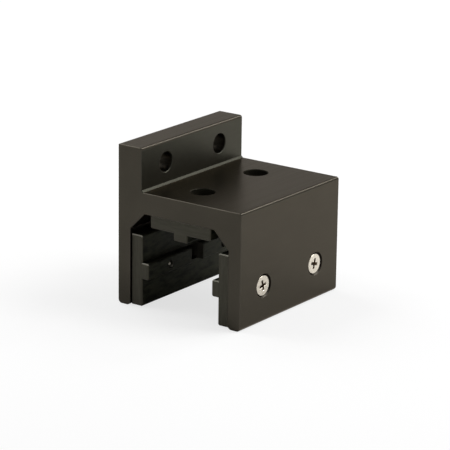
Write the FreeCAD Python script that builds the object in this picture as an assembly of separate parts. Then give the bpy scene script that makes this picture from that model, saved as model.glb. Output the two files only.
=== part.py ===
import FreeCAD, Part
import math
import os
from FreeCAD import Placement, Rotation, Vector

# Flanged linear bearing: a housing that straddles a square T-slot profile, with three plain pads.
# X runs across the profile, with the flange on the -X side. Y runs along the slide. Z is up.
# The origin is below the middle of the part, on the plane that the two legs stand on.
# All sizes are millimetres and all angles are degrees.

# The profile that the bearing slides on
profile_width = 38.1
running_clearance = 0.2

# Bearing pads: a flat plate with a rib that runs in the profile's slot and a window through the middle
pad_thickness = 5.6
pad_corner_margin = 3.85
pad_corner_bevel = 0.5
pad_end_inset = 1.05
pad_edge_break = 0.4
pad_foot_lift = 0.33
rib_width = 7.0
rib_height = 3.2
rib_corner_bevel = 0.5
window_length = 8.2

# Extruded housing: two legs, the web that joins them and the upright flange
housing_length = 69.85
leg_thickness = 6.1
web_thickness = 9.1
flange_thickness = 12.0
flange_rise = 18.55
inner_chamfer_gap = 2.3
foot_radius = 1.7
foot_share = 0.48
outer_radius = 1.0
flange_back_radius = 0.4
flange_root_bevel = 0.8
end_edge_break = 0.2

# Holes that bolt the flange to a plate
hole_spacing = 37.1
flange_hole_diameter = 8.5
flange_hole_edge_distance = 9.15
hole_rim_break = 0.25

# Flat-head screws, two to a pad, and their holes
screw_tip_setback = 0.6
screw_diameter = 4.83
head_diameter = 8.5
head_edge = 0.6
head_angle = 82.0
head_recess = 0.42
shank_clearance = 0.15
thread_clearance = 0.03
pilot_diameter = 3.45
recess_arms = 4
recess_span = 4.6
recess_wing = 1.2
recess_depth = 2.0
recess_taper = 0.5
recess_turns = {"left": (70.0, 25.0), "right": (12.5, 75.0), "top": (12.0, 57.0)}

# Sizes and places that follow from the ones above
pad_width = profile_width - 2 * pad_corner_margin
inner_half_width = profile_width / 2 + running_clearance + pad_thickness
inner_chamfer = inner_half_width - pad_width / 2 - inner_chamfer_gap
half_width = inner_half_width + leg_thickness
foot_rounding = min(foot_radius, foot_share * leg_thickness)
side_pad_height = pad_foot_lift + pad_width / 2
web_underside = side_pad_height + inner_half_width
web_top = web_underside + web_thickness
flange_top = web_top + flange_rise
flange_inner_face = flange_thickness - half_width
pad_length = housing_length - 2 * pad_end_inset
pad_depth = pad_thickness + rib_height
hole_rows = (-hole_spacing / 2, hole_spacing / 2)
head_slope = math.tan(math.radians(head_angle / 2))
head_top = leg_thickness - head_recess
screw_tip = screw_tip_setback - pad_depth
screw_length = head_top - screw_tip
shank_bore = screw_diameter + 2 * shank_clearance
countersink_mouth = head_diameter + 2 * (head_recess + head_edge) * head_slope

# Each pad's seat is the middle of the wall face behind it. Its own z axis points out through the wall.
full_turn = 360.0
slide_axis = Vector(0, 1, 0)
seats = {
    "left": Placement(Vector(-inner_half_width, 0, side_pad_height), Rotation(slide_axis, -90)),
    "right": Placement(Vector(inner_half_width, 0, side_pad_height), Rotation(slide_axis, 90)),
    "top": Placement(Vector(0, 0, web_underside), Rotation(slide_axis, 0)),
}


def eased_section(corners):
    """Face in the XZ plane with straight sides and corners (x, z, size, rounded or else bevelled)."""
    places = [Vector(x, 0, z) for x, z, size, rounded in corners]
    turns = []
    for index, (x, z, size, rounded) in enumerate(corners):
        here = places[index]
        to_last = (places[index - 1] - here).normalize()
        to_next = (places[(index + 1) % len(places)] - here).normalize()
        half_angle = to_last.getAngle(to_next) / 2
        reach = size / math.tan(half_angle)
        inward = (to_last + to_next).normalize()
        middle = here + inward * (size / math.sin(half_angle) - size)
        turns.append((here + to_last * reach, middle, here + to_next * reach))
    edges = []
    for index, (x, z, size, rounded) in enumerate(corners):
        start, middle, end = turns[index]
        if size > 0:
            corner = Part.Arc(start, middle, end) if rounded else Part.LineSegment(start, end)
            edges.append(corner.toShape())
        next_start = turns[(index + 1) % len(turns)][0]
        edges.append(Part.LineSegment(end, next_start).toShape())
    return Part.Face(Part.Wire(edges))


def extruded_bar(section, length, edge_break):
    """Bar of a section along Y, centred on the XZ plane, with the edges of both ends broken."""
    bar = section.translated(Vector(0, -length / 2, 0)).extrude(Vector(0, length, 0))
    ends = [face for face in bar.Faces if abs(abs(face.CenterOfMass.y) - length / 2) < edge_break]
    return bar.makeChamfer(edge_break, [edge for face in ends for edge in face.Edges])


def post(diameter, low, high, y=0.0):
    """Round post along z from low to high."""
    return Part.makeCylinder(diameter / 2, high - low, Vector(0, y, low))


def cone(low_diameter, high_diameter, low, high, y=0.0):
    """Cone along z from low to high."""
    return Part.makeCone(low_diameter / 2, high_diameter / 2, high - low, Vector(0, y, low))


def housing_section():
    """Inverted U with 45 degree inner corners and the flange above the left leg."""
    chamfer_end = inner_half_width - inner_chamfer
    chamfer_foot = web_underside - inner_chamfer
    return eased_section([
        (-half_width, 0, foot_rounding, True),
        (-inner_half_width, 0, foot_rounding, True),
        (-inner_half_width, chamfer_foot, 0, False),
        (-chamfer_end, web_underside, 0, False),
        (chamfer_end, web_underside, 0, False),
        (inner_half_width, chamfer_foot, 0, False),
        (inner_half_width, 0, foot_rounding, True),
        (half_width, 0, foot_rounding, True),
        (half_width, web_top, outer_radius, True),
        (flange_inner_face, web_top, flange_root_bevel, False),
        (flange_inner_face, flange_top, outer_radius, True),
        (-half_width, flange_top, flange_back_radius, True),
    ])


def screw_hole(y, wall_thickness):
    """Cut for one screw at a seat: clearance bore and countersink, sunk deeper where the wall is thicker."""
    cone_foot = leg_thickness - (countersink_mouth - shank_bore) / 2 / head_slope
    cut = post(shank_bore, 0, leg_thickness, y)
    cut = cut.fuse(cone(shank_bore, countersink_mouth, cone_foot, leg_thickness, y))
    if wall_thickness > leg_thickness:
        rim = countersink_mouth + 2 * hole_rim_break
        cut = cut.fuse(post(countersink_mouth, leg_thickness, wall_thickness, y))
        cut = cut.fuse(cone(countersink_mouth, rim, wall_thickness - hole_rim_break, wall_thickness, y))
    return cut


def flange_hole(y):
    """Cut for one bolt through the flange, with its inner rim broken."""
    rim = flange_hole_diameter + 2 * hole_rim_break
    cut = post(flange_hole_diameter, 0, flange_thickness)
    cut = cut.fuse(cone(flange_hole_diameter, rim, flange_thickness - hole_rim_break, flange_thickness))
    height = flange_top - flange_hole_edge_distance
    cut.Placement = Placement(Vector(-half_width, y, height), Rotation(slide_axis, 90))
    return cut


def housing():
    """The extrusion with its screw holes and flange holes."""
    body = extruded_bar(housing_section(), housing_length, end_edge_break)
    walls = {"left": leg_thickness, "right": leg_thickness, "top": web_thickness}
    cuts = [flange_hole(y) for y in hole_rows]
    for side, seat in seats.items():
        for y in hole_rows:
            cut = screw_hole(y, walls[side])
            cut.Placement = seat
            cuts.append(cut)
    return body.cut(cuts)


def pad_section():
    """Plate below its seat plane, with the rib in the middle of the running face."""
    return eased_section([
        (-pad_width / 2, 0, 0, False),
        (pad_width / 2, 0, 0, False),
        (pad_width / 2, -pad_thickness, pad_corner_bevel, False),
        (rib_width / 2, -pad_thickness, 0, False),
        (rib_width / 2, -pad_depth, rib_corner_bevel, False),
        (-rib_width / 2, -pad_depth, rib_corner_bevel, False),
        (-rib_width / 2, -pad_thickness, 0, False),
        (-pad_width / 2, -pad_thickness, pad_corner_bevel, False),
    ])


def bearing_pad(seat):
    """One pad on its seat, with the window at mid length and the thread and pilot bore of each screw."""
    pad = extruded_bar(pad_section(), pad_length, pad_edge_break)
    rib_corner = Vector(-pad_width / 2, -window_length / 2, -pad_depth)
    window_corner = Vector(-rib_width / 2, -window_length / 2, -pad_thickness)
    cuts = [
        Part.makeBox(pad_width, window_length, rib_height, rib_corner),
        Part.makeBox(rib_width, window_length, pad_thickness, window_corner),
    ]
    for y in hole_rows:
        cuts.append(post(screw_diameter + 2 * thread_clearance, screw_tip, 0, y))
        cuts.append(post(pilot_diameter, -pad_depth, 0, y))
    pad = pad.cut(cuts)
    pad.Placement = seat
    return pad


def recess_blade(turn):
    """One of the crossed wedges that cut the recess in a head, turned about z."""
    reach = recess_span / 2
    floor_reach = reach * recess_taper
    outline = [(-reach, 0), (reach, 0), (floor_reach, -recess_depth), (-floor_reach, -recess_depth)]
    corners = [Vector(x, -recess_wing / 2, z) for x, z in outline]
    blade = Part.Face(Part.makePolygon(corners + corners[:1])).extrude(Vector(0, recess_wing, 0))
    blade.rotate(Vector(0, 0, 0), Vector(0, 0, 1), turn)
    return blade


def screw(turn):
    """One flat-head screw along z with the top of its head at zero and its cross recess turned."""
    head_height = head_edge + (head_diameter - screw_diameter) / 2 / head_slope
    outline = [
        Vector(0, 0, 0),
        Vector(head_diameter / 2, 0, 0),
        Vector(head_diameter / 2, 0, -head_edge),
        Vector(screw_diameter / 2, 0, -head_height),
        Vector(screw_diameter / 2, 0, -screw_length),
        Vector(0, 0, -screw_length),
        Vector(0, 0, 0),
    ]
    blank = Part.Face(Part.makePolygon(outline)).revolve(Vector(0, 0, 0), Vector(0, 0, 1), full_turn)
    return blank.cut([recess_blade(turn), recess_blade(turn + full_turn / recess_arms)])


def screw_pair(side):
    """The two screws of one pad, as separate solids in their holes."""
    pair = []
    for y, turn in zip(hole_rows, recess_turns[side]):
        piece = screw(turn)
        piece.translate(Vector(0, y, head_top))
        pair.append(piece)
    group = Part.makeCompound(pair)
    group.Placement = seats[side]
    return group


def main():
    os.makedirs("parts", exist_ok=True)
    housing().exportStep("parts/housing.step")
    for side, seat in seats.items():
        bearing_pad(seat).exportStep(f"parts/{side}_pad.step")
        screw_pair(side).exportStep(f"parts/{side}_pad_screws.step")


main()
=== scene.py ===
import bpy
import math
from mathutils import Matrix, Vector


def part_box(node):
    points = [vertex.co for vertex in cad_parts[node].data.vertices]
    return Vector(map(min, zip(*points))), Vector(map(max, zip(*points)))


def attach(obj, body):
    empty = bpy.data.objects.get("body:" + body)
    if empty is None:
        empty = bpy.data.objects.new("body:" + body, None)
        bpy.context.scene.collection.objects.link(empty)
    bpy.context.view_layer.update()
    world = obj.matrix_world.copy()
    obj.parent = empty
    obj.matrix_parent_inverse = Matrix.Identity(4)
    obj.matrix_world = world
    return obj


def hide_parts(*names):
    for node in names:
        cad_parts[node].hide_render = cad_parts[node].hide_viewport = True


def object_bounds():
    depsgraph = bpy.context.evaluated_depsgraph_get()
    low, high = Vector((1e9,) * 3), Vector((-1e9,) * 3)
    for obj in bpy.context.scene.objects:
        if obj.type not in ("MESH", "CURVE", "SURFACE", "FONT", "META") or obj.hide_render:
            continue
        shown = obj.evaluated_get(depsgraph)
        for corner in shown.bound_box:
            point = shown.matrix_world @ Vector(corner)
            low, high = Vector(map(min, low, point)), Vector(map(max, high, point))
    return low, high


# Flanged linear bearing on a pale floor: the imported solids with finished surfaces, and detailed screws.
# Lengths are metres. X runs across the slide with the flange on the -X side, Y runs along it and Z is up.

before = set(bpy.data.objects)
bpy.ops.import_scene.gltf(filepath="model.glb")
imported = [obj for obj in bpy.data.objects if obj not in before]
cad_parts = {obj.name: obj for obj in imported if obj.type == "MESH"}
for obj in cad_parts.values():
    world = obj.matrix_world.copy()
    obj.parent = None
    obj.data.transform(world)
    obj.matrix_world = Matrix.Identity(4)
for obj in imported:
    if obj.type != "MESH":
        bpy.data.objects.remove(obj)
cad_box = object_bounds()
mm = 0.001
white = (1.0, 1.0, 1.0, 1.0)
sides = ("left", "right", "top")

# Camera at the photograph's place and angle, with its sensor in millimetres
photo_pixels = 450
focal_pixels = 2544.1
sensor_width = 36.0
camera_place = (0.58895, -0.82067, 0.33619)
camera_azimuth = math.radians(35.762)
camera_elevation = math.radians(16.814)
camera_roll = math.radians(0.754)
clip_range = (0.01, 50.0)

# Soft surround: white round the horizon, a dimmer sky above it and dimmer still overhead
backdrop_level = 1.0
sky_level = 0.30
zenith_level = 0.16
backdrop_top = math.sin(math.radians(6.5))
sky_start = math.sin(math.radians(11.0))
sky_end = math.sin(math.radians(26.0))
zenith_start = math.sin(math.radians(48.0))

# Floor: pale to the light, white to the eye and in reflections, with a stronger glow far from the object
floor_size = 8.0
floor_gap = 0.02 * mm
floor_colour = 0.8
mirrored_floor_colour = 1.0
seen_floor_share = 0.3
near_floor_glow = 0.71
far_floor_glow = 0.95
near_floor = 0.25
far_floor = 1.1

# Soft boxes: place from the middle of the object, side length and level
lamps = {
    "front_box": {"place": (-0.45, -0.23, 0.64), "side": 0.36, "level": 1.35},
    "left_box": {"place": (-0.60, 0.00, 0.62), "side": 0.6, "level": 2.7},
    "right_box": {"place": (0.50, 0.38, 0.72), "side": 0.5, "level": 6.6},
    "back_box": {"place": (0.180, 0.730, 0.585), "side": 0.24, "level": 7.5},
}

# First input, second input and result of Blender's mix node for values and for colours
mix_sockets = {"FLOAT": (2, 3, 0), "RGBA": (6, 7, 2)}

# Parts of a face's normal at which it counts as pointing along an axis, as flat and as slanting
facing_start = 0.3
facing_full = 0.5
flat_start = 0.95
slant_full = 0.8

# Range that holds most of a noise's values
noise_range = (0.3, 0.7)

# Dark bronze anodising: colours and roughness
anodised_dark = (0.0488, 0.0438, 0.0343, 1.0)
anodised_light = (0.0555, 0.0498, 0.0390, 1.0)
# Lighter colour on the outer edges: partly wear, partly a painted highlight
anodised_wear_and_highlight = (0.0730, 0.0662, 0.0548, 1.0)
anodised_edge_tint = (0.985, 0.917, 0.832, 1.0)
# Greener copy of the bronze inside the flange: a painted shade tint
inner_shade_tint_dark = (0.0462, 0.0463, 0.0370, 1.0)
inner_shade_tint_light = (0.0524, 0.0525, 0.0419, 1.0)
# Painted shade in the countersinks, with a painted highlight where their wall faces up
countersink_painted_shade = (0.0110, 0.0096, 0.0072, 1.0)
countersink_painted_highlight = (0.0480, 0.0435, 0.0360, 1.0)
# Painted shade inside the deep holes of the web and over their rims
deep_hole_painted_shade = (0.0240, 0.0228, 0.0172, 1.0)
anodised_roughness = (0.28, 0.36)
inner_roughness = (0.36, 0.44)
inner_edge_roughness = 0.52
countersink_roughness = 0.45
deep_hole_roughness = 0.62

# Grain of the anodising, with its waves in a metre along X, Y and Z, and relief
die_line_grain = {"waves": (3500.0, 9.0, 3500.0), "detail": 3.0}
saw_line_grain = {"waves": (60.0, 60.0, 2600.0), "detail": 2.0}
anodised_cloud_grain = {"waves": (45.0, 25.0, 45.0), "detail": 3.0}
speckle_grain = {"waves": (9000.0, 9000.0, 9000.0), "detail": 1.0}
line_relief = {"strength": 0.35, "depth": 0.012 * mm}
speckle_relief = {"strength": 0.25, "depth": 0.004 * mm}

# Places on the housing with their own roughness, painted shade and painted highlight: round the screw
# heads, and inside the flange
hole_margins = {"right": 0.88 * mm, "top": 1.13 * mm}
flange_thickness = 12.0 * mm
flange_rise = 18.55 * mm
root_reach = 1.1 * mm

# Black bearing plastic: mottled along the slide, greyer where it is sawn, with a pale painted highlight on
# the upper end edges
plastic_dark = (0.0044, 0.0048, 0.0028, 1.0)
plastic_light = (0.0140, 0.0148, 0.0088, 1.0)
plastic_sawn_dark = (0.0372, 0.0342, 0.0288, 1.0)
plastic_sawn_light = (0.0509, 0.0469, 0.0394, 1.0)
# Painted highlight on the upper edges of the sawn ends
plastic_upper_end_highlight = (0.3400, 0.3280, 0.2800, 1.0)
plastic_edge_tint = (1.0, 1.0, 0.6, 1.0)
plastic_gloss = (0.10, 0.33)
plastic_sawn_gloss = 0.2
plastic_roughness = (0.48, 0.66)
plastic_sawn_roughness = (0.4, 0.5)
planer_line_grain = {"waves": (900.0, 14.0, 900.0), "detail": 2.0}
side_pad_saw_grain = {"waves": (1300.0, 80.0, 130.0), "detail": 2.0}
top_pad_saw_grain = {"waves": (130.0, 80.0, 1300.0), "detail": 2.0}
pad_saw_grains = {"left": side_pad_saw_grain, "right": side_pad_saw_grain, "top": top_pad_saw_grain}
plastic_cloud_grain = {"waves": (600.0, 200.0, 600.0), "detail": 4.0}
plastic_relief = {"strength": 0.5, "depth": 0.03 * mm}

# Plated steel of the screws, dark below the top of the head from residue and painted shade, apart from a
# length at the tip
plating_dull = (0.66, 0.605, 0.51, 1.0)
plating_bright = (0.76, 0.70, 0.595, 1.0)
# Residue and painted shade in the recess and down the head; painted shade on the shank
recess_residue_and_shade = (0.120, 0.079, 0.048, 1.0)
shank_shade = (0.022, 0.020, 0.016, 1.0)
residue_and_shade_top = 0.02 * mm
residue_and_shade_full = 0.2 * mm
tip_bright = {"front": 0.25 * mm, "rear": 0.0}
plating_roughness = (0.24, 0.34)
residue_and_shade_roughness = 0.6
plating_cloud_grain = {"waves": (900.0, 900.0, 900.0), "detail": 3.0}
turning_rings = {"Scale": 1200.0, "Distortion": 0.6, "Detail": 2.0}
ring_relief = {"strength": 0.2, "depth": 0.01 * mm}

# Screw details that the solids leave out: head and cross recess, with shares of the depth, lip and rim
outward_axes = {"left": Vector((-1, 0, 0)), "right": Vector((1, 0, 0)), "top": Vector((0, 0, 1))}
arm_turns = {"left": (70.0, 25.0), "right": (12.5, 75.0), "top": (12.0, 57.0)}
head_edge = 0.6 * mm
head_half_angle = math.radians(41.0)
rim_round = 0.12 * mm
rim_levels = (1.0, 0.3, 0.0)
recess_arms = 4
recess_span = 4.6 * mm
recess_wing = 1.2 * mm
recess_depth = 1.9 * mm
recess_core = 0.8 * mm
core_full_depth = 0.5
recess_floor_share = 0.42
recess_wing_taper = 0.25
recess_levels = (1.0, 0.75, 0.5, 0.25, 0.06)
recess_point_radius = 0.28 * mm
recess_point_depth = 2.1 * mm
recess_lip = 0.06 * mm
lip_levels = (1 / 3, 1.0)
arm_side_steps = 7

# Screw details that the solids leave out: thread and tip
thread_pitch = 1.058 * mm
thread_outer = 4.82 * mm
thread_root = 3.7 * mm
thread_rows = 10
thread_flat = 0.15
plain_neck = 0.6 * mm
tip_chamfer = 1.4 * mm
sharp_angle = math.radians(35.0)


def set_inputs(tree, node, inputs):
    """Set or link the inputs of a node."""
    for socket, value in inputs.items():
        if isinstance(value, bpy.types.NodeSocket):
            tree.links.new(value, node.inputs[socket])
        else:
            node.inputs[socket].default_value = value


def add_node(tree, kind, settings=None, inputs=None):
    """Add a node, set its options, and set or link its inputs."""
    made = tree.nodes.new(kind)
    for option, value in (settings or {}).items():
        setattr(made, option, value)
    set_inputs(tree, made, inputs or {})
    return made


def math_node(tree, operation, first, second=0.0):
    """Result of one sum on two values."""
    return add_node(tree, "ShaderNodeMath", {"operation": operation}, {0: first, 1: second}).outputs[0]


def overlap(tree, first, *others):
    """One where all the masks are one."""
    shared = first
    for mask in others:
        shared = math_node(tree, "MULTIPLY", shared, mask)
    return shared


def mix(tree, kind, share, first, second):
    """Blend of two values or of two colours."""
    start, end, result = mix_sockets[kind]
    made = add_node(tree, "ShaderNodeMix", {"data_type": kind}, {0: share, start: first, end: second})
    return made.outputs[result]


def mix_values(tree, share, first, second):
    """Value between two others."""
    return mix(tree, "FLOAT", share, first, second)


def mix_colours(tree, share, first, second):
    """Colour between two others."""
    return mix(tree, "RGBA", share, first, second)


def ramp(tree, value, start, end, low=0.0, high=1.0):
    """Value carried smoothly from one range to another and held at its ends."""
    made = add_node(tree, "ShaderNodeMapRange", {"interpolation_type": "SMOOTHSTEP"}, {
        "Value": value, "From Min": start, "From Max": end, "To Min": low, "To Max": high})
    return made.outputs[0]


def parts_of(tree, vector):
    """X, Y and Z parts of a vector, by name and in that order."""
    return add_node(tree, "ShaderNodeSeparateXYZ", inputs={"Vector": vector}).outputs


def new_material(name):
    """Material with its node tree, its main shader and its object coordinates."""
    material = bpy.data.materials.new(name)
    material.use_nodes = True
    tree = material.node_tree
    coordinates = add_node(tree, "ShaderNodeTexCoord")
    return material, tree, tree.nodes["Principled BSDF"], coordinates.outputs["Object"]


def grain(tree, place, waves, detail):
    """Noise with its own number of waves in a metre along each axis."""
    mapping = add_node(tree, "ShaderNodeMapping", inputs={"Vector": place, "Scale": waves})
    noise = add_node(tree, "ShaderNodeTexNoise", inputs={
        "Vector": mapping.outputs[0], "Scale": 1.0, "Detail": detail})
    return noise.outputs["Fac"]


def spread(tree, value, low=0.0, high=1.0):
    """Noise stretched over a range of values."""
    return ramp(tree, value, *noise_range, low, high)


def normal_parts(tree):
    """X, Y and Z parts of the surface's normal."""
    return parts_of(tree, add_node(tree, "ShaderNodeNewGeometry").outputs["Normal"])


def facing(tree, axis):
    """One on faces that point along an axis, zero elsewhere."""
    return ramp(tree, normal_parts(tree)[axis], facing_start, facing_full)


def face_masks(tree):
    """Masks of the ends cut across the slide with their edges, and of all slanting faces."""
    x, y, z = [math_node(tree, "ABSOLUTE", part) for part in normal_parts(tree)]
    main = math_node(tree, "MAXIMUM", math_node(tree, "MAXIMUM", x, y), z)
    return ramp(tree, y, facing_start, facing_full), ramp(tree, main, flat_start, slant_full)


def bump(tree, height, strength, depth, normal=None):
    """Normal of a surface raised by a height."""
    inputs = {"Strength": strength, "Distance": depth, "Height": height}
    if normal is not None:
        inputs["Normal"] = normal
    return add_node(tree, "ShaderNodeBump", inputs=inputs).outputs[0]


def screw_seats(side):
    """Head centres, outward direction, head radius and length of the two screws of one pad."""
    low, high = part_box(f"{side}_pad_screws")
    middle = (low + high) / 2
    outward = outward_axes[side]
    length = abs((high - low).dot(outward))
    radius = (high.x - low.x if side == "top" else high.z - low.z) / 2
    rows = (low.y + radius, high.y - radius)
    heads = [Vector((middle.x, y, middle.z)) + outward * (length / 2) for y in rows]
    return {"heads": heads, "outward": outward, "radius": radius, "length": length}


def hole_mask(tree, place, side):
    """One inside the screw holes of the web, or of both legs, which are in line, and zero elsewhere."""
    seats = screw_seats(side)
    head = seats["heads"][1]
    parts = parts_of(tree, place)
    from_row = math_node(tree, "SUBTRACT", math_node(tree, "ABSOLUTE", parts["Y"]), head.y)
    if side == "top":
        from_axis = math_node(tree, "SUBTRACT", parts["X"], head.x)
    else:
        from_axis = math_node(tree, "SUBTRACT", parts["Z"], head.z)
    squares = [math_node(tree, "MULTIPLY", part, part) for part in (from_row, from_axis)]
    reach = math_node(tree, "SQRT", math_node(tree, "ADD", *squares))
    return math_node(tree, "LESS_THAN", reach, seats["radius"] + hole_margins[side])


def flange_inside(tree, place):
    """One on the flange's inner face and root, below its top edge, and zero elsewhere."""
    parts = parts_of(tree, place)
    left = math_node(tree, "LESS_THAN", parts["X"], cad_box[0].x + flange_thickness + root_reach)
    above = math_node(tree, "GREATER_THAN", parts["Z"], cad_box[1].z - flange_rise - root_reach)
    below = math_node(tree, "LESS_THAN", parts["Z"], cad_box[1].z - root_reach)
    return overlap(tree, facing(tree, "X"), left, above, below)


def housing_masks(tree, place):
    """Masks of the housing's ends, inner face, edges and holes."""
    ends, edges = face_masks(tree)
    inside = flange_inside(tree, place)
    inner_edges = overlap(tree, edges, inside)
    return {
        "ends": ends,
        "inside": inside,
        "inner_edges": inner_edges,
        "outer_edges": math_node(tree, "SUBTRACT", edges, inner_edges),
        "countersinks": hole_mask(tree, place, "right"),
        "deep_holes": hole_mask(tree, place, "top"),
    }


def housing_colour(tree, place, masks, speckle):
    """Bronze in soft clouds, painted shade tint inside the flange, edges lighter from wear and painted
    highlight, painted shade in the holes, and painted highlight where a countersink faces up.
    """
    cloud = spread(tree, grain(tree, place, **anodised_cloud_grain))
    outer = mix_colours(tree, cloud, anodised_dark, anodised_light)
    # Inside the flange: a painted shade tint
    inner = mix_colours(tree, cloud, inner_shade_tint_dark, inner_shade_tint_light)
    colour = mix_colours(tree, masks["inside"], outer, inner)
    # Outer edges lightened: partly wear, partly a painted highlight
    wear_and_highlight = overlap(tree, masks["outer_edges"], spread(tree, speckle))
    colour = mix_colours(tree, wear_and_highlight, colour, anodised_wear_and_highlight)
    # Countersinks: painted shade, with a painted highlight where the wall faces up
    sunk_shade_and_highlight = mix_colours(tree, facing(tree, "Z"), countersink_painted_shade, countersink_painted_highlight)
    colour = mix_colours(tree, masks["countersinks"], colour, sunk_shade_and_highlight)
    # Deep holes: painted shade
    return mix_colours(tree, masks["deep_holes"], colour, deep_hole_painted_shade)


def housing_roughness(tree, masks, relief):
    """Roughness that follows the relief, duller inside the flange and in the holes."""
    outer = spread(tree, relief, *anodised_roughness)
    inner = spread(tree, relief, *inner_roughness)
    rough = mix_values(tree, masks["inside"], outer, inner)
    rough = mix_values(tree, masks["countersinks"], rough, countersink_roughness)
    rough = mix_values(tree, masks["deep_holes"], rough, deep_hole_roughness)
    return mix_values(tree, masks["inner_edges"], rough, inner_edge_roughness)


def housing_material():
    """Dark bronze anodised extrusion with die lines along it and saw lines across its ends."""
    material, tree, shader, place = new_material("anodised_extrusion")
    masks = housing_masks(tree, place)
    die_lines = grain(tree, place, **die_line_grain)
    saw_lines = grain(tree, place, **saw_line_grain)
    speckle = grain(tree, place, **speckle_grain)
    relief = mix_values(tree, masks["ends"], die_lines, saw_lines)
    lines = bump(tree, relief, **line_relief)
    set_inputs(tree, shader, {
        "Base Color": housing_colour(tree, place, masks, speckle),
        "Roughness": housing_roughness(tree, masks, relief),
        "Normal": bump(tree, speckle, **speckle_relief, normal=lines),
        "Metallic": 1.0,
        "Specular Tint": anodised_edge_tint,
    })
    return material


def pad_material(side):
    """Waxy black bearing plastic: mottled running faces, grey sawn ends and a painted highlight on their
    upper edges.
    """
    material, tree, shader, place = new_material(f"bearing_plastic_{side}")
    ends, edges = face_masks(tree)
    # Upper edges of the sawn ends: painted highlight
    upper_end_highlights = overlap(tree, edges, ends, facing(tree, "Z"))
    planer_lines = grain(tree, place, **planer_line_grain)
    saw_lines = grain(tree, place, **pad_saw_grains[side])
    cloud = grain(tree, place, **plastic_cloud_grain)
    running = mix_colours(tree, spread(tree, cloud), plastic_dark, plastic_light)
    sawn = mix_colours(tree, spread(tree, saw_lines), plastic_sawn_dark, plastic_sawn_light)
    running_rough = spread(tree, cloud, *plastic_roughness)
    sawn_rough = spread(tree, saw_lines, *plastic_sawn_roughness)
    running_gloss = spread(tree, cloud, *plastic_gloss)
    relief = mix_values(tree, ends, planer_lines, saw_lines)
    set_inputs(tree, shader, {
        "Base Color": mix_colours(tree, upper_end_highlights, mix_colours(tree, ends, running, sawn), plastic_upper_end_highlight),
        "Roughness": mix_values(tree, ends, running_rough, sawn_rough),
        "Normal": bump(tree, relief, **plastic_relief),
        "Specular IOR Level": mix_values(tree, ends, running_gloss, plastic_sawn_gloss),
        "Specular Tint": plastic_edge_tint,
    })
    return material


def screw_material(name, bright):
    """Plated steel: ringed head, residue and painted shade in the recess, painted shade on the shank and a
    given length of bright tip.
    """
    material, tree, shader, place = new_material(name)
    wave = {"wave_type": "RINGS", "rings_direction": "Z"}
    rings = add_node(tree, "ShaderNodeTexWave", wave, {"Vector": place, **turning_rings})
    cloud = grain(tree, place, **plating_cloud_grain)
    height = parts_of(tree, place)["Z"]
    tip = math_node(tree, "LESS_THAN", height, bright - screw_seats("right")["length"])
    # Dark below the head's top: residue and painted shade
    dark = math_node(tree, "SUBTRACT", ramp(tree, height, -residue_and_shade_top, -residue_and_shade_full), tip)
    shank = math_node(tree, "LESS_THAN", height, -recess_point_depth)
    plating = mix_colours(tree, spread(tree, cloud), plating_dull, plating_bright)
    shade = mix_colours(tree, shank, recess_residue_and_shade, shank_shade)
    set_inputs(tree, shader, {
        "Base Color": mix_colours(tree, dark, plating, shade),
        "Roughness": mix_values(tree, dark, spread(tree, cloud, *plating_roughness), residue_and_shade_roughness),
        "Normal": bump(tree, rings.outputs["Fac"], **ring_relief),
        "Metallic": 1.0,
    })
    return material


def arm_angles():
    """Angles round the head, from one recess arm to the next, that follow the corners of the arms."""
    reach = recess_span / 2
    edge = recess_wing / 2
    corner = math.asin(edge / reach)
    corner_reach = reach * math.cos(corner)
    half = [0.0, corner / 2, corner]
    for step in range(1, arm_side_steps + 1):
        along = corner_reach + (edge - corner_reach) * step / arm_side_steps
        half.append(math.atan2(edge, along))
    arm = [-angle for angle in half[-2:0:-1]] + half
    quarter = math.tau / recess_arms
    return [quarter * index + angle for index in range(recess_arms) for angle in arm]


def recess_radius(angle, reach, edge, core):
    """Distance from the axis to the wall of a cross recess, which is never less than the core."""
    quarter = math.tau / recess_arms
    off = abs((angle + quarter / 2) % quarter - quarter / 2)
    to_side = edge / math.sin(off) if off > 0 else reach
    return max(min(reach, to_side), core)


def circle(angles, radius, z):
    """Ring of points round the axis."""
    return [(radius, z, angle) for angle in angles]


def cross(angles, depth_share, lip):
    """Ring of points round the recess at a share of its depth, widened by a lip."""
    reach = recess_span / 2 * (1 + (recess_floor_share - 1) * depth_share) + lip
    edge = recess_wing / 2 * (1 - recess_wing_taper * depth_share) + lip
    core = recess_core * min(1.0, depth_share / core_full_depth)
    z = lip - recess_lip if lip else -recess_depth * depth_share
    return [(recess_radius(angle, reach, edge, core), z, angle) for angle in angles]


def thread_rings(angles, start, stop):
    """Rings of a cut thread between two heights, that runs out at both ends."""
    outer = thread_outer / 2
    root = thread_root / 2
    count = int((start - stop) / thread_pitch * thread_rows)
    rings = []
    for row in range(1, count + 1):
        z = start + (stop - start) * row / count
        fade = min(1.0, row / thread_rows, (count - row) / thread_rows)
        plain = outer if row < count / 2 else root
        ring = []
        for angle in angles:
            turn = (z / thread_pitch - angle / math.tau) % 1.0
            rise = (abs(2 * turn - 1) - thread_flat) / (1 - 2 * thread_flat)
            cut = root + (outer - root) * min(1.0, max(0.0, rise))
            ring.append((plain + (cut - plain) * fade, z, angle))
        rings.append(ring)
    return rings


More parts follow.
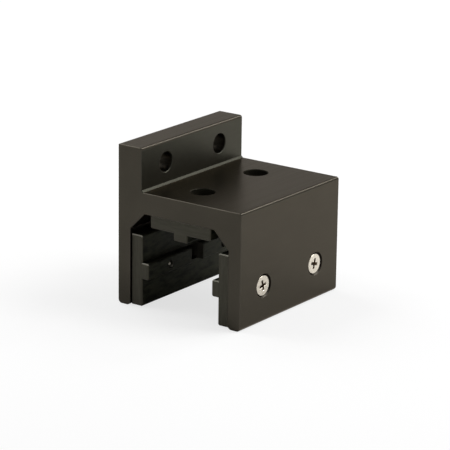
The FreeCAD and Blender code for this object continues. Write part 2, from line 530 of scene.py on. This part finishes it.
def screw_rings(head_radius, length):
    """Rings of points from the bottom of the recess, over the head and down the thread to the tip."""
    angles = arm_angles()
    neck_radius = thread_outer / 2
    neck = -head_edge - (head_radius - neck_radius) / math.tan(head_half_angle)
    rings = [circle(angles, recess_point_radius, -recess_point_depth)]
    rings += [cross(angles, share, 0.0) for share in recess_levels]
    rings += [cross(angles, 0.0, recess_lip * share) for share in lip_levels]
    rings.append(circle(angles, (head_radius + recess_span / 2) / 2, 0.0))
    for share in rim_levels:
        rings.append(circle(angles, head_radius - rim_round * share, -rim_round * (1 - share)))
    rings.append(circle(angles, head_radius, -head_edge))
    rings.append(circle(angles, neck_radius, neck))
    rings.append(circle(angles, neck_radius, neck - plain_neck))
    rings += thread_rings(angles, neck - plain_neck, tip_chamfer - length)
    rings.append(circle(angles, thread_root / 2 - tip_chamfer, -length))
    return rings


def screw_mesh(name, head_radius, length):
    """Closed mesh through the rings of a screw."""
    rings = screw_rings(head_radius, length)
    count = len(rings[0])
    points = []
    for ring in rings:
        points += [(radius * math.cos(angle), radius * math.sin(angle), z) for radius, z, angle in ring]
    faces = [tuple(range(count)), tuple(reversed(range(len(points) - count, len(points))))]
    for low in range(0, len(points) - count, count):
        for index in range(count):
            following = (index + 1) % count
            faces.append((low + index, low + count + index, low + count + following, low + following))
    mesh = bpy.data.meshes.new(name)
    mesh.from_pydata(points, [], faces)
    mesh.shade_smooth()
    mesh.set_sharp_from_angle(angle=sharp_angle)
    return mesh


def add_object(name, data):
    """New object in the scene."""
    piece = bpy.data.objects.new(name, data)
    bpy.context.scene.collection.objects.link(piece)
    return piece


def make_screws():
    """Six detailed screws in the places of the plain ones."""
    materials = {row: screw_material(f"plated_steel_{row}", bright) for row, bright in tip_bright.items()}
    for side in sides:
        seats = screw_seats(side)
        tilt = seats["outward"].to_track_quat("Z", "Y").to_matrix().to_4x4()
        for row, head, turn in zip(tip_bright, seats["heads"], arm_turns[side]):
            name = f"{side}_{row}_screw"
            piece = add_object(name, screw_mesh(name, seats["radius"], seats["length"]))
            spin = Matrix.Rotation(math.radians(turn), 4, "Z")
            piece.matrix_world = Matrix.Translation(head) @ tilt @ spin
            piece.data.materials.append(materials[row])
            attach(piece, "root")
            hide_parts(f"{side}_pad_screws")


def make_world():
    """Even soft light, white round the horizon and dimmer above."""
    world = bpy.data.worlds.new("studio")
    bpy.context.scene.world = world
    world.use_nodes = True
    tree = world.node_tree
    height = parts_of(tree, add_node(tree, "ShaderNodeTexCoord").outputs["Generated"])["Z"]
    sky = ramp(tree, height, sky_end, zenith_start, sky_level, zenith_level)
    level = mix_values(tree, ramp(tree, height, backdrop_top, sky_start), backdrop_level, sky)
    set_inputs(tree, tree.nodes["Background"], {"Color": white, "Strength": level})


def floor_material():
    """Pale floor that is white to the eye, near and far, and keeps a soft shadow."""
    material = bpy.data.materials.new("pale_floor")
    material.use_nodes = True
    tree = material.node_tree
    tree.nodes.clear()
    path = add_node(tree, "ShaderNodeLightPath")
    seen = math_node(tree, "MAXIMUM", path.outputs["Is Camera Ray"], path.outputs["Is Transmission Ray"])
    unseen = mix_values(tree, path.outputs["Is Glossy Ray"], floor_colour, mirrored_floor_colour)
    share = mix_values(tree, seen, unseen, seen_floor_share)
    place = add_node(tree, "ShaderNodeTexCoord").outputs["Object"]
    distance = add_node(tree, "ShaderNodeVectorMath", {"operation": "LENGTH"}, {0: place})
    level = ramp(tree, distance.outputs["Value"], near_floor, far_floor, near_floor_glow, far_floor_glow)
    glow = math_node(tree, "MULTIPLY", seen, level)
    diffuse = add_node(tree, "ShaderNodeBsdfDiffuse", inputs={"Color": share})
    emission = add_node(tree, "ShaderNodeEmission", inputs={"Strength": glow})
    both = add_node(tree, "ShaderNodeAddShader", inputs={0: diffuse.outputs[0], 1: emission.outputs[0]})
    add_node(tree, "ShaderNodeOutputMaterial", inputs={"Surface": both.outputs[0]})
    return material


def make_floor():
    """Wide floor just below the object."""
    half = floor_size / 2
    height = cad_box[0].z - floor_gap
    corners = [(-half, -half, height), (half, -half, height), (half, half, height), (-half, half, height)]
    mesh = bpy.data.meshes.new("floor")
    mesh.from_pydata(corners, [], [tuple(range(len(corners)))])
    mesh.materials.append(floor_material())
    add_object("floor", mesh)


def make_lamps():
    """Soft boxes round the object."""
    target = (cad_box[0] + cad_box[1]) / 2
    for name, lamp in lamps.items():
        light = bpy.data.lights.new(name, "AREA")
        light.shape = "SQUARE"
        light.size = lamp["side"]
        light.energy = lamp["level"] * math.pi * lamp["side"] ** 2
        piece = add_object(name, light)
        place = Vector(lamp["place"])
        piece.location = target + place
        piece.rotation_euler = place.to_track_quat("Z", "Y").to_euler()
        piece.visible_camera = False


def make_camera():
    """Camera at the photograph's place and angle."""
    level = Vector((math.cos(camera_azimuth), math.sin(camera_azimuth), 0.0))
    away = Vector((math.sin(camera_azimuth), -math.cos(camera_azimuth), 0.0))
    back = away * math.cos(camera_elevation) + Vector((0.0, 0.0, math.sin(camera_elevation)))
    upright = back.cross(level)
    right = level * math.cos(camera_roll) + upright * math.sin(camera_roll)
    up = upright * math.cos(camera_roll) - level * math.sin(camera_roll)
    data = bpy.data.cameras.new("camera")
    data.sensor_width = sensor_width
    data.lens = focal_pixels / photo_pixels * sensor_width
    data.clip_start, data.clip_end = clip_range
    camera = add_object("camera", data)
    turn = Matrix((right, up, back)).transposed().to_4x4()
    camera.matrix_world = Matrix.Translation(camera_place) @ turn
    bpy.context.scene.camera = camera


def dress(node, material):
    """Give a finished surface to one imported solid."""
    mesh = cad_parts[node].data
    mesh.materials.clear()
    mesh.materials.append(material)


dress("housing", housing_material())
for side in sides:
    dress(f"{side}_pad", pad_material(side))
make_screws()
make_world()
make_floor()
make_lamps()
make_camera()
bpy.context.scene.view_settings.view_transform = "Standard"
